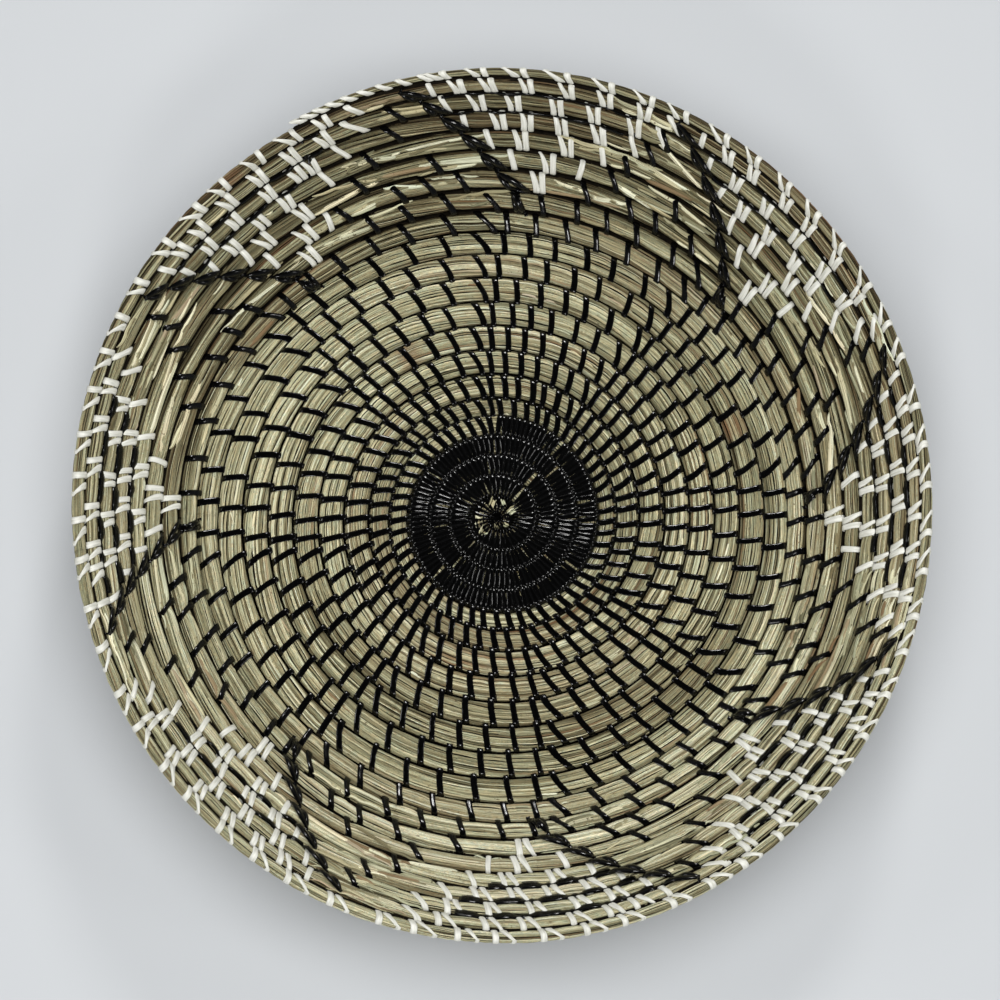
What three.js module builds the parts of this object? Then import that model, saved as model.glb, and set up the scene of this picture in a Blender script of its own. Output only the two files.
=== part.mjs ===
// Woven seagrass tray: one bundle of grass coiled from the middle out, bound round its
// first turns with a close strip wrap, and crossed on the wall by eight short braids.
//
// Millimetres, +Z up. The tray stands on Z = 0, and the origin is under its middle.

import * as THREE from 'three';

// The bundle, from the middle of the floor to the end at the rim
const BUNDLE_TURNS = 21 + 8 / 24;
const STEPS_PER_TURN = 24;
const BUNDLE_SIDES = 6;
const FIRST_RADIUS = 5.2;
const START_WIDTH = 6.0;
const CENTRE_WIDTH = 9.5;
const FIRST_STITCHED_WIDTH = 8.8;
const FLOOR_WIDTH = 11.7;
const WALL_FOOT_WIDTH = 11.2;
const WALL_WIDTH = 10.4;
const UPPER_WIDTH = 9.2;
const RIM_WIDTH = 5.2;
const END_WIDTH = 2.6;
const TURN_GAP = 0.7;

// Where along the turns the bundle changes width
const START_TURNS = 0.6;
const THINNING_TURNS = 0.25;
const THIN_TURNS = 0.75;
const WIDENING_TURNS = 1.35;
const FULL_WIDTH_TURN = 11.0;
const NARROWING_TURNS = 1.5;
const UPPER_TURN = 19.2;
const RIM_TURN = 21.0;
const END_TURNS = 0.2;

// The tray's shape: a flat floor, a bend, and a wall that steepens to the rim
const FLOOR_TURNS = 12.1;
const BEND_TURNS = 0.9;
const WALL_FOOT_SLOPE = 38;
const WALL_TOP_SLOPE = 58;

// The bundle's flat underside, as a share of its own thickness
const FOOT_CUT = 0.1;

// How much longer along Y than along X the rim is. The floor is round.
const RIM_OVAL = 0.035;

// The close strip wrap round the first turns
const WRAP_TURNS = 4.25;
const WRAP_WALL = 0.8;
const WRAP_CLEARANCE = 0.35;

// The knot that fills the eye of the first turn
const KNOT_CLEARANCE = 0.35;
const KNOT_HEIGHT = 6.4;
const KNOT_STEPS = 16;

// The braids laid slantwise up the wall, each by the angle of its inner end
const BRAID_ANGLES = [6, 48, 88, 131, 183, 231, 279, 322];
const BRAID_SWEEP = 17.5;
const BRAID_INNER_TURN = 14.4;
const BRAID_OUTER_TURN = 20.3;
const BRAID_WIDTH = 6.2;
const BRAID_THICKNESS = 3.6;
const BRAID_CLEARANCE = 0.35;
const BRAID_TIP = 0.6;
const BRAID_SIDES = 8;
const BRAID_STEPS = 14;

const FULL_TURN = Math.PI * 2;
const FLAT_SHARE = Math.cos(Math.PI / BUNDLE_SIDES);

const seagrass = new THREE.MeshStandardMaterial({ color: 0x9c9163, roughness: 0.75, metalness: 0 });
const blackStrip = new THREE.MeshStandardMaterial({ color: 0x0c0d0e, roughness: 0.35, metalness: 0 });

// The bundle's width at a turn, from a few widths with straight changes between them
function bundleWidth(turn) {
  const thinStart = WRAP_TURNS + THINNING_TURNS;
  const thinEnd = thinStart + THIN_TURNS;
  const stops = [
    [0, START_WIDTH],
    [START_TURNS, CENTRE_WIDTH],
    [WRAP_TURNS, CENTRE_WIDTH],
    [thinStart, FIRST_STITCHED_WIDTH],
    [thinEnd, FIRST_STITCHED_WIDTH],
    [thinEnd + WIDENING_TURNS, FLOOR_WIDTH],
    [FULL_WIDTH_TURN, FLOOR_WIDTH],
    [FLOOR_TURNS, WALL_FOOT_WIDTH],
    [FLOOR_TURNS + NARROWING_TURNS, WALL_WIDTH],
    [UPPER_TURN, UPPER_WIDTH],
    [RIM_TURN, RIM_WIDTH],
    [BUNDLE_TURNS - END_TURNS, RIM_WIDTH],
    [BUNDLE_TURNS, END_WIDTH],
  ];
  for (let i = 1; i < stops.length; i += 1) {
    const [turnAfter, widthAfter] = stops[i];
    const [turnBefore, widthBefore] = stops[i - 1];
    if (turn <= turnAfter) {
      const share = (turn - turnBefore) / (turnAfter - turnBefore);
      return THREE.MathUtils.lerp(widthBefore, widthAfter, share);
    }
  }
  return END_WIDTH;
}

// Half the bundle's thickness, which leaves the gap between neighbouring turns
function bundleRadius(turn) {
  return (bundleWidth(turn) - TURN_GAP) / 2;
}

// The slope of the tray's surface at a turn, in radians
function wallSlope(turn) {
  if (turn <= FLOOR_TURNS) {
    return 0;
  }
  const bendEnd = FLOOR_TURNS + BEND_TURNS;
  const foot = THREE.MathUtils.degToRad(WALL_FOOT_SLOPE);
  if (turn <= bendEnd) {
    return foot * (turn - FLOOR_TURNS) / BEND_TURNS;
  }
  const top = THREE.MathUtils.degToRad(WALL_TOP_SLOPE);
  return THREE.MathUtils.lerp(foot, top, (turn - bendEnd) / (BUNDLE_TURNS - bendEnd));
}

// The tray's section: for every step, the radius, height and slope of the bundle's middle
function traceSection() {
  const section = [];
  const share = 1 / STEPS_PER_TURN;
  let radius = FIRST_RADIUS;
  let climb = 0;
  for (let step = 0; step <= Math.round(BUNDLE_TURNS * STEPS_PER_TURN); step += 1) {
    const turn = step * share;
    const onFloor = Math.min(turn, FLOOR_TURNS);
    const rest = bundleRadius(onFloor) * (1 - 2 * FOOT_CUT);
    section.push({ turn, radius, height: rest + climb, slope: wallSlope(turn) });
    const middle = turn + share / 2;
    radius += bundleWidth(middle) * Math.cos(wallSlope(middle)) * share;
    climb += bundleWidth(middle) * Math.sin(wallSlope(middle)) * share;
  }
  return section;
}

const section = traceSection();

// The section between two steps, for pieces that lie on the bundle anywhere
function sectionAt(turn) {
  const place = Math.min(turn * STEPS_PER_TURN, section.length - 1.001);
  const before = section[Math.floor(place)];
  const after = section[Math.floor(place) + 1];
  const share = place - Math.floor(place);
  return {
    turn,
    radius: THREE.MathUtils.lerp(before.radius, after.radius, share),
    height: THREE.MathUtils.lerp(before.height, after.height, share),
    slope: THREE.MathUtils.lerp(before.slope, after.slope, share),
  };
}

// How far up the wall a turn is, from 0 on the floor to 1 at the rim
function wallShare(turn) {
  return Math.max(turn - FLOOR_TURNS, 0) / (BUNDLE_TURNS - FLOOR_TURNS);
}

// A point in the upright section at an angle round the tray. Along runs up the section and
// lift stands off it, towards the inside of the tray.
function trayPoint(angle, place, along, lift) {
  const radius = place.radius + along * Math.cos(place.slope) - lift * Math.sin(place.slope);
  const height = place.height + along * Math.sin(place.slope) + lift * Math.cos(place.slope);
  const length = radius * (1 + RIM_OVAL * wallShare(place.turn));
  return new THREE.Vector3(radius * Math.cos(angle), length * Math.sin(angle), Math.max(height, 0));
}

// One six-sided ring round the bundle, with a flat above and below and a corner on each side
function bundleRing(place, radius) {
  const angle = place.turn * FULL_TURN;
  const ring = [];
  for (let side = 0; side < BUNDLE_SIDES; side += 1) {
    const corner = (side + 0.5) * FULL_TURN / BUNDLE_SIDES;
    ring.push(trayPoint(angle, place, radius * Math.sin(corner), radius * Math.cos(corner)));
  }
  return ring;
}

// Joins rings of points into a closed tube. With inner rings it is a sleeve with open ends.
function loft(outerRings, innerRings = null) {
  const sides = outerRings[0].length;
  const last = outerRings.length - 1;
  const points = outerRings.concat(innerRings ?? []).flat();
  const triangles = [];
  const outer = (ring, side) => ring * sides + (side % sides);
  const inner = (ring, side) => (outerRings.length + ring) * sides + (side % sides);
  const quad = (a, b, c, d) => triangles.push(a, b, c, a, c, d);

  for (let ring = 0; ring < last; ring += 1) {
    for (let side = 0; side < sides; side += 1) {
      quad(outer(ring, side), outer(ring, side + 1), outer(ring + 1, side + 1), outer(ring + 1, side));
      if (innerRings) {
        quad(inner(ring, side), inner(ring + 1, side), inner(ring + 1, side + 1), inner(ring, side + 1));
      }
    }
  }
  for (let side = 0; side < sides; side += 1) {
    if (innerRings) {
      quad(outer(0, side + 1), outer(0, side), inner(0, side), inner(0, side + 1));
      quad(outer(last, side), outer(last, side + 1), inner(last, side + 1), inner(last, side));
    }
  }
  for (let side = 1; side < sides - 1 && !innerRings; side += 1) {
    triangles.push(outer(0, 0), outer(0, side + 1), outer(0, side));
    triangles.push(outer(last, 0), outer(last, side), outer(last, side + 1));
  }

  const coordinates = new Float32Array(points.flatMap((point) => point.toArray()));
  const geometry = new THREE.BufferGeometry();
  geometry.setAttribute('position', new THREE.BufferAttribute(coordinates, 3));
  geometry.setIndex(triangles);
  geometry.computeVertexNormals();
  return geometry;
}

// How much thinner the grass bundle is where the strip wrap covers it
function coveredRadius(radius) {
  return radius - (WRAP_WALL + WRAP_CLEARANCE) / FLAT_SHARE;
}

// The grass bundle: one unbroken spiral from the knot to its tapered end at the rim
function bundleRings() {
  return section.map((place) => {
    const radius = bundleRadius(place.turn);
    const covered = place.turn <= WRAP_TURNS;
    return bundleRing(place, covered ? coveredRadius(radius) : radius);
  });
}

// The strip wrap: a sleeve on the bundle's first turns
function centreWrap() {
  const covered = section.filter((place) => place.turn <= WRAP_TURNS);
  const outerRings = covered.map((place) => bundleRing(place, bundleRadius(place.turn)));
  const innerRings = covered.map((place) => {
    return bundleRing(place, bundleRadius(place.turn) - WRAP_WALL / FLAT_SHARE);
  });
  return loft(outerRings, innerRings);
}

// The knot: a comma-shaped plug that ends square against the start of the bundle
function startKnot() {
  const outline = new THREE.Shape();
  const clearAngle = KNOT_CLEARANCE / FIRST_RADIUS;
  for (let step = 0; step <= KNOT_STEPS; step += 1) {
    const angle = THREE.MathUtils.lerp(0, FULL_TURN - clearAngle * 2, step / KNOT_STEPS);
    const place = sectionAt(angle / FULL_TURN);
    const radius = place.radius * chordShare(angle) - bundleRadius(place.turn) - KNOT_CLEARANCE;
    const point = [radius * Math.cos(angle), radius * Math.sin(angle)];
    if (step === 0) {
      outline.moveTo(...point);
    } else {
      outline.lineTo(...point);
    }
  }
  outline.closePath();
  return new THREE.ExtrudeGeometry(outline, { depth: KNOT_HEIGHT, bevelEnabled: false });
}

// How far a straight step of the bundle lies inside its true circle at an angle
function chordShare(angle) {
  const step = FULL_TURN / STEPS_PER_TURN;
  const fromMiddle = angle - (Math.floor(angle / step) + 0.5) * step;
  return Math.cos(step / 2) / Math.cos(fromMiddle);
}

// A braid: a flattened tube laid slantwise up the wall, thinner at both tips
function braid(innerAngle) {
  const centres = [];
  const lifts = [];
  for (let step = 0; step <= BRAID_STEPS; step += 1) {
    const share = step / BRAID_STEPS;
    const angle = THREE.MathUtils.degToRad(innerAngle + BRAID_SWEEP * share);
    const turn = THREE.MathUtils.lerp(BRAID_INNER_TURN, BRAID_OUTER_TURN, share);
    const place = sectionAt(turn);
    place.radius *= chordShare(angle);
    const thickness = BRAID_THICKNESS * braidShare(step);
    const lift = bundleRadius(turn) * FLAT_SHARE + BRAID_CLEARANCE + thickness / 2;
    const centre = trayPoint(angle, place, 0, lift);
    centres.push(centre);
    lifts.push(trayPoint(angle, place, 0, lift + 1).sub(centre));
  }
  return loft(centres.map((centre, step) => {
    const before = centres[Math.max(step - 1, 0)];
    const after = centres[Math.min(step + 1, BRAID_STEPS)];
    const forward = after.clone().sub(before).normalize();
    const across = forward.clone().cross(lifts[step]).normalize();
    const up = across.clone().cross(forward);
    const ring = [];
    for (let side = 0; side < BRAID_SIDES; side += 1) {
      const corner = (side + 0.5) * FULL_TURN / BRAID_SIDES;
      const point = centre.clone();
      point.addScaledVector(up, -Math.sin(corner) * braidShare(step) * BRAID_THICKNESS / 2);
      point.addScaledVector(across, Math.cos(corner) * braidShare(step) * BRAID_WIDTH / 2);
      ring.push(point);
    }
    return ring;
  }));
}

// How much of its full size a braid has at a step
function braidShare(step) {
  return step === 0 || step === BRAID_STEPS ? BRAID_TIP : 1;
}

// The least distance between points of the bundle that are half a turn apart or more
function leastGap(rings) {
  let least = Infinity;
  const near = STEPS_PER_TURN / 2;
  for (let first = 0; first < rings.length; first += 1) {
    const end = Math.min(first + STEPS_PER_TURN + 3, rings.length);
    for (let second = first + near; second < end; second += 1) {
      for (const a of rings[first]) {
        for (const b of rings[second]) {
          least = Math.min(least, a.distanceTo(b));
        }
      }
    }
  }
  return least;
}

const group = new THREE.Group();

function addPart(name, geometry, material) {
  const mesh = new THREE.Mesh(geometry, material);
  mesh.name = name;
  group.add(mesh);
}

const rings = bundleRings();
addPart('core_coil', loft(rings), seagrass);
addPart('centre_wrap', centreWrap(), blackStrip);
addPart('start_knot', startKnot(), blackStrip);
BRAID_ANGLES.forEach((angle, index) => addPart(`braid_${index + 1}`, braid(angle), blackStrip));

// The tray is set over the middle of its own outline, which the spiral's end puts off centre
const outline = new THREE.Box3().setFromObject(group);
const middle = outline.getCenter(new THREE.Vector3());
for (const mesh of group.children) {
  mesh.position.set(-middle.x, -middle.y, 0);
}

const size = outline.getSize(new THREE.Vector3());
console.log(`Least gap between turns of core_coil: ${leastGap(rings).toFixed(2)} mm`);
console.log(`Outline ${size.x.toFixed(1)} x ${size.y.toFixed(1)} x ${size.z.toFixed(1)} mm`);

export default group;
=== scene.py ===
# Woven seagrass tray: loose stalks, strip stitches, braids and the wrapped middle,
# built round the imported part. Sizes are millimetres until a mesh is made.

import math

import bpy
import numpy as np
from mathutils import Matrix, Vector


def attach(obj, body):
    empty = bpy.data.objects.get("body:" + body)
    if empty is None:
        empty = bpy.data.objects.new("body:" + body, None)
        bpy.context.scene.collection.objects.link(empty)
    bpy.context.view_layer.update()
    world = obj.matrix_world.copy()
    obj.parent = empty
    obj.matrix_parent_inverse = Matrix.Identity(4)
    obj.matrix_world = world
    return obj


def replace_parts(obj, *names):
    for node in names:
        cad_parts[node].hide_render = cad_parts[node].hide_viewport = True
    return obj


SEED = 11
MM = 0.001

# The bundle's course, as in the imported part
TURNS = 21 + 8 / 24
FIRST_RADIUS = 5.2
AXIS_X, AXIS_Y = -0.51677, -0.37228
WIDTH_TURNS = [-0.65, 0, 0.6, 4.25, 4.5, 5.25, 6.6, 11.0, 12.1, 13.6, 19.2, 21.0, TURNS - 0.2, TURNS]
WIDTHS = [2.4, 6.0, 9.5, 9.5, 8.8, 8.8, 11.7, 11.7, 11.2, 10.4, 9.2, 5.2, 5.2, 2.6]
SLOPE_TURNS = [12.1, 13.0, TURNS]
SLOPES = [0, 38, 58]
FLOOR_TURNS = 12.1
FOOT_REST = 0.8
TURN_GAP = 0.7
RIM_OVAL = 0.035

# The skin of the bundle: its height over its width, how square it is on the floor and on the
# wall, and how deep the grooves between the turns are there, as shares of its width
ROUND_SHARE = 0.9
FLOOR_POWER = 3.6
WALL_POWER = 2.5
FLOOR_GROOVE = 0.028
WALL_GROOVE = 0.052
WALL_BLEND = 1.5

# How the skin swells between stitches, is pinched under them and draws in beside them
BULGE = 0.09
BULGE_LENGTH = 6
PINCH = 0.14
SIDE_PINCH = 0.15
PINCH_LENGTH = 2.2
WAIST = 0.05
WAIST_LENGTH = 4.5
WAIST_TURN = 12.5

# The stalks, which twist slowly round the bundle and wander more where stitches are far
STALKS = 37
RIM_STALKS = 26
RIM_START = 19.7
STALK_STEP = 2.0
STALK_FILL = 0.54
WALL_THINNING = 0.03
STALK_THICKNESS = 0.7
LAY = 0.03
DRIFT = 0.34
LOOSENESS = 1.3
LOOSE_LENGTH = 9

# The colour of the stalks: painted shade that darkens them at the bundle's sides, painted light and
# shade that make them paler on one side of the wall and darker on the other, and brown in patches, by
# turn and strength
PAINTED_SIDE_SHADE = 0.3
PAINTED_LIGHT_SIDE = 275
PAINTED_LIGHT_GAIN = 0.2
BROWN_PATCHES = [(11.06, 0.8), (8.33, 0.7), (20.364, 1.0)]
PATCH_LENGTH = 6

# Painted shade: the near-black inside of the bundle, which shows between stalks and in the grooves, and
# how far it reaches into the turns beside it
BODY_SHARE = 0.8
FLOOR_OVERLAP = 0.1
WALL_OVERLAP = 0.9

# The loose straws. Some lie scattered, half as long and half as wide as the rest
STRAWS = 320
SCATTERED_SHARE = 0.35
STRAW_STEPS = 26
STRAW_LENGTHS = (14, 52)
STRAW_HALF_WIDTHS = (0.8, 1.5)
STRAW_SPREAD = 0.35
STRAW_HALF_THICKNESS = 0.25
STRAW_TONES = [0.95, 0.8, 0.6, 0.35]
STRAW_ODDS = [0.25, 0.3, 0.25, 0.2]

# The wrapped middle, and the tail of the bundle that turns in to the eye
EYE_TURNS = 0.65
EYE_RADIUS = 1.6
EYE_WIDTH = 2.4
WRAP_TURNS = 4.25
WRAP_START = 0.6
WRAP_PITCH = 2.35
WRAP_WIDTH = 2.6

# Slivers of bare grass between the wraps, by turn and width
SLIVERS = [
    (1.14, 1.3), (1.30, 0.5), (1.43, 0.5), (1.63, 0.5), (1.85, 0.5), (1.97, 0.6),
    (2.13, 2.0), (2.28, 0.4), (2.36, 0.5), (2.47, 0.7), (2.53, 0.5), (2.63, 0.9),
    (2.71, 0.5), (2.80, 0.5), (2.89, 0.6), (3.00, 0.5), (3.11, 1.1), (3.26, 0.6),
    (3.41, 0.6), (3.62, 1.2), (3.90, 1.3), (3.99, 0.8), (4.03, 1.0), (4.14, 1.6),
]

# The eye: strips that cross in it, how high its skin is at some radii, and scraps of grass on
# it, by place, length, width and direction in degrees
CROSSING_REACH = 4.6
CROSSING_WIDTH = 2.6
CROSSING_THICKNESS = 0.6
CROSSING_DEGREES = [10, 75, 130, 40, 105, 160]
EYE_RADII = [0, 3, 5.2, 9.5, 12]
EYE_HEIGHTS = [2.8, 4.6, 5.8, 7.5, 7.9]
EYE_SCRAPS = [
    (-2.8, 7.0, 4.5, 2.2, 70),
    (2.3, 7.2, 4.0, 1.8, 115),
    (6.6, 3.4, 5.0, 3.4, 35),
    (-9.2, -0.6, 3.6, 1.6, 160),
    (-7.4, -6.0, 7.0, 3.2, 62),
    (-5.2, -7.6, 4.0, 2.0, 20),
    (-0.9, -4.6, 3.4, 1.8, 100),
    (3.7, -3.7, 3.2, 1.6, 145),
]
SHRED_WIDTH = 0.8
SHRED_THICKNESS = 0.5
SHRED_STEPS = 9

# The stitches: seven black ones in each of eight sectors, leaning less and less. The first
# turns have them evenly spread
SECTOR_STARTS = [12.3, 53.7, 95.1, 141.9, 190.8, 236.7, 284.4, 327.6]
SECTOR_TURN = 10
SECTOR_DRIFT = -0.9
SECTOR_PLACES = [0, 0.165, 0.33, 0.48, 0.63, 0.775, 0.895]
EVEN_PLACES = [0, 0.145, 0.29, 0.43, 0.575, 0.72, 0.86]
SECTOR_LEANS = [3.0, 1.9, 1.7, 1.5, 1.2, 0.9, 0.6]
FIRST_STITCH_TURN = 4.256
BLACK_WIDTH = 2.9
WHITE_WIDTH = 2.9
CURL_POWER = 3.0
STRIP_THICKNESS = 0.36
STRIP_STEPS = 15
LOOP = np.radians(np.concatenate([np.arange(-90, 91, 12), np.arange(120, 241, 30)]))

# Where a strip's inner end laps over the turn before
LAP = 2.0
WHITE_LAP = 1.0
LAP_PLACE = -66
LAP_SPREAD = 22

# The braids, by the angles of their inner and outer ends, which cross rows 7 to 2, and how
# stout each is
BRAIDS = [(5, 22), (46, 65), (88, 105), (131, 152), (184, 200), (231, 248), (279, 298), (322, 341)]
BRAID_SHARES = [0.95, 1.0, 1.1, 1.05, 0.85, 0.95, 1.15, 1.1]
BRAID_ROWS = [2, 3, 4, 5, 6, 7]

# The links of a braid: where their strips start and end, in rows from the link's own row, and
# how far they reach along it
LINK_START = -0.38
LINK_END = 0.55
LINK_REACH = 14.5
LAST_LINK_REACH = 5.5
DOWN_ROWS = (-0.15, 0.62)
DOWN_SHIFT = 3.2

# Beside each braid: white stitches by row, in degrees before it, and black ones after it
WHITE_STARTS = {2: 39, 3: 35, 4: 28.5, 5: 21.5, 6: 15.7}
WHITE_LEANS = {2: 1.9, 3: 1.8, 4: 1.4, 5: 0.9, 6: -0.3}
WHITE_PAIRS = {
    2: [34, 28.4, 22.8, 17, 11.8, 7.6],
    3: [30.3, 24.6, 18.8, 12.8, 7.2],
    4: [23, 17.5, 12.2, 6.8],
    5: [16, 8.5],
    6: [11],
    7: [6.6],
}
WHITE_ENDS = {2: 3.8, 3: 2.5, 4: 2.4, 5: 3.3, 6: 4.2}
WEDGE_BLACKS = {3: [4.8], 4: [8.7], 5: [15.5], 6: [9, 21], 7: [7, 12.5, 19, 28]}

# How far apart the two stitches of a pair are, and their lean and curl, for each zone and for
# the rim, and the angles of the single stitches over the bundle's end
PAIR_SPACINGS = [3.4, 3.0, 3.4, 3.4, 3.6, 3.5, 3.9, 3.5]
PAIR_LEANS = [0.35, 0.3, 0.5, 0.5, 0.45, 0.5, 0.6, 0.15]
PAIR_CURLS = [0.9, 0.7, 0.8, 0.8, 1.0, 0.5, 1.15, 0.8]
RIM_PAIRS = 63
RIM_SPACINGS = (3.4, 5.2)
RIM_LEAN = 0.5
RIM_CURL = 1.2
RIM_END_STITCHES = [100.5, 103.6, 106.4, 109, 111.4, 113.6, 115.6, 117.4, 119]

# The black strip carried along in the grooves of each white zone, by the row outside it
CARRIED = [[2, 3, 4], [2, 3], [2, 3], [2, 3], [2, 3, 4], [3, 4], [2, 3, 4], [2, 3, 4, 5]]
CARRIED_WIDTHS = [2.6, 1.8, 1.5, 2.0, 4.2, 2.6, 5.2, 3.4]
CARRIED_STEPS = 70
CARRIED_DEPTH = 0.88
CARRIED_THICKNESS = 0.6

# Where the camera stood, from the photograph
CAMERA_DISTANCE = 1356
CAMERA_TILT_X = 2.08
CAMERA_TILT_Y = 11.35
CAMERA_TARGET = (-0.2, 5.17, 20)
CAMERA_LENS = 105.8

# The stage in metres: a pale floor, a large lamp overhead and four round the tray, by their
# angle and power
FLOOR_HALF = 4.0
FLOOR_COLOR = (0.56, 0.58, 0.6, 1)
OVERHEAD_PLACE = (-0.05, -0.12, 1.6)
OVERHEAD_SIZE = 1.6
OVERHEAD_POWER = 26
SIDE_LAMPS = [(80, 11), (170, 3), (265, 8), (350, 3)]
SIDE_RADIUS = 1.6
SIDE_HEIGHT = 1.15
SIDE_SIZE = 0.4
SIDE_COLOR = (1.0, 0.99, 0.97)

rng = np.random.default_rng(SEED)


def width_at(turn):
    return np.interp(turn, WIDTH_TURNS, WIDTHS)


def slope_at(turn):
    return np.radians(np.interp(turn, SLOPE_TURNS, SLOPES))


def trace_bundle():
    """Turn, radius and height of the bundle's middle, at small steps."""
    share = 1 / 240
    turns = np.arange(0, TURNS + share / 2, share)
    middles = turns + share / 2
    width = width_at(middles)
    slope = slope_at(middles)
    radius = FIRST_RADIUS + np.concatenate([[0], np.cumsum(width * np.cos(slope) * share)[:-1]])
    climb = np.concatenate([[0], np.cumsum(width * np.sin(slope) * share)[:-1]])
    height = (width_at(np.minimum(turns, FLOOR_TURNS)) - TURN_GAP) / 2 * FOOT_REST + climb
    eye = np.linspace(-EYE_TURNS, -share, 60)
    eye_radius = np.interp(eye, [-EYE_TURNS, 0], [EYE_RADIUS, FIRST_RADIUS])
    eye_height = np.interp(eye, [-EYE_TURNS, 0], [EYE_WIDTH / 2, height[0]])
    return (
        np.concatenate([eye, turns]),
        np.concatenate([eye_radius, radius]),
        np.concatenate([eye_height, height]),
    )


TURN_TABLE, RADIUS_TABLE, HEIGHT_TABLE = trace_bundle()
LENGTH_TABLE = np.concatenate(
    [[0], np.cumsum(math.tau * (RADIUS_TABLE[1:] + RADIUS_TABLE[:-1]) / 2 * np.diff(TURN_TABLE))]
)


def radius_at(turn):
    return np.interp(turn, TURN_TABLE, RADIUS_TABLE)


def length_at(turn):
    return np.interp(turn, TURN_TABLE, LENGTH_TABLE)


def turn_at(length):
    return np.interp(length, LENGTH_TABLE, TURN_TABLE)


def turn_of(row, degrees):
    """The turn of a row at an angle. Row 1 is the rim, and half rows are the grooves."""
    share = np.mod(degrees, 360) / 360
    return np.floor(TURNS - share) + share - (row - 1)


def row_of(turn):
    """The row of a turn, counted from 1 at the rim."""
    return math.floor(TURNS - turn) + 1


def braid_angle(braid, row):
    """The angle in degrees at which a braid crosses a row."""
    inner, outer = BRAIDS[braid]
    return inner + (outer - inner) * (7.5 - row) / 6


def tray_point(turn, angle, along, lift):
    """Points by the turn whose section they lie on, their angle, and where they are in it."""
    slope = slope_at(turn)
    radius = radius_at(turn) + along * np.cos(slope) - lift * np.sin(slope)
    height = np.interp(turn, TURN_TABLE, HEIGHT_TABLE)
    height = height + along * np.sin(slope) + lift * np.cos(slope)
    oval = 1 + RIM_OVAL * np.maximum(turn - FLOOR_TURNS, 0) / (TURNS - FLOOR_TURNS)
    x = AXIS_X + radius * np.cos(angle)
    y = AXIS_Y + radius * np.sin(angle) * oval
    return np.stack([x, y, np.maximum(height, 0.02)], axis=-1)


def on_bundle(turn, shift, around, reach):
    """Points shift along the bundle from a turn, around it from its top, reach from its middle."""
    here = turn + shift / (math.tau * radius_at(turn))
    return tray_point(here, math.tau * here, reach * np.sin(around), reach * np.cos(around))


def smooth_noise(rows, lengths, spacing):
    """Smooth random curves from -1 to 1, one a row, with a new value about every spacing."""
    count = int((lengths[-1] - lengths[0]) / spacing) + 4
    values = rng.uniform(-1, 1, (rows, count))
    place = (lengths[None, :] - lengths[0]) / spacing + rng.uniform(0, 1, (rows, 1))
    left = np.floor(place).astype(int)
    share = place - left
    share = share * share * (3 - 2 * share)
    row = np.arange(rows)[:, None]
    return values[row, left] * (1 - share) + values[row, left + 1] * share


# Materials


def new_material(name):
    """A material with a bare shader, and the shader."""
    material = bpy.data.materials.new(name)
    material.use_nodes = True
    nodes = material.node_tree.nodes
    nodes.clear()
    output = nodes.new("ShaderNodeOutputMaterial")
    shader = nodes.new("ShaderNodeBsdfPrincipled")
    material.node_tree.links.new(shader.outputs["BSDF"], output.inputs["Surface"])
    return material, shader


def ramp(owner, factor, stops):
    """A colour ramp over a factor socket, from (place, colour) stops."""
    node = owner.node_tree.nodes.new("ShaderNodeValToRGB")
    elements = node.color_ramp.elements
    while len(elements) < len(stops):
        elements.new(0.5)
    for element, (place, color) in zip(elements, stops):
        element.position = place
        element.color = (*color, 1)
    owner.node_tree.links.new(factor, node.inputs["Fac"])
    return node.outputs["Color"]


def strip_noise(material, along, across, detail=3.0):
    """Noise drawn out along a strip, from the flow, side and tone of its mesh."""
    nodes, links = material.node_tree.nodes, material.node_tree.links
    place = nodes.new("ShaderNodeCombineXYZ")
    for socket, (name, factor) in zip("XYZ", [("flow", along), ("side", across), ("tone", 90.0)]):
        times = nodes.new("ShaderNodeMath")
        times.operation = "MULTIPLY"
        times.inputs[1].default_value = factor
        links.new(attribute_value(material, name), times.inputs[0])
        links.new(times.outputs[0], place.inputs[socket])
    noise = nodes.new("ShaderNodeTexNoise")
    noise.inputs["Scale"].default_value = 1.0
    noise.inputs["Detail"].default_value = detail
    links.new(place.outputs[0], noise.inputs["Vector"])
    return noise.outputs["Fac"]


def attribute_value(material, name):
    """The value that a mesh holds on its points under a name."""
    node = material.node_tree.nodes.new("ShaderNodeAttribute")
    node.attribute_name = name
    return node.outputs["Fac"]


def mixed(material, factor, first, second, blend="MIX"):
    """The mix of two colours, each given as a colour or a socket."""
    node = material.node_tree.nodes.new("ShaderNodeMix")
    node.data_type = "RGBA"
    node.blend_type = blend
    links = material.node_tree.links
    for socket, value in ((0, factor), (6, first), (7, second)):
        if isinstance(value, (int, float)):
            node.inputs[socket].default_value = value
        elif isinstance(value, tuple):
            node.inputs[socket].default_value = (*value, 1)
        else:
            links.new(value, node.inputs[socket])
    return node.outputs[2]


def add_bump(material, shader, height, distance):
    bump = material.node_tree.nodes.new("ShaderNodeBump")
    bump.inputs["Distance"].default_value = distance
    material.node_tree.links.new(height, bump.inputs["Height"])
    material.node_tree.links.new(bump.outputs["Normal"], shader.inputs["Normal"])


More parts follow.
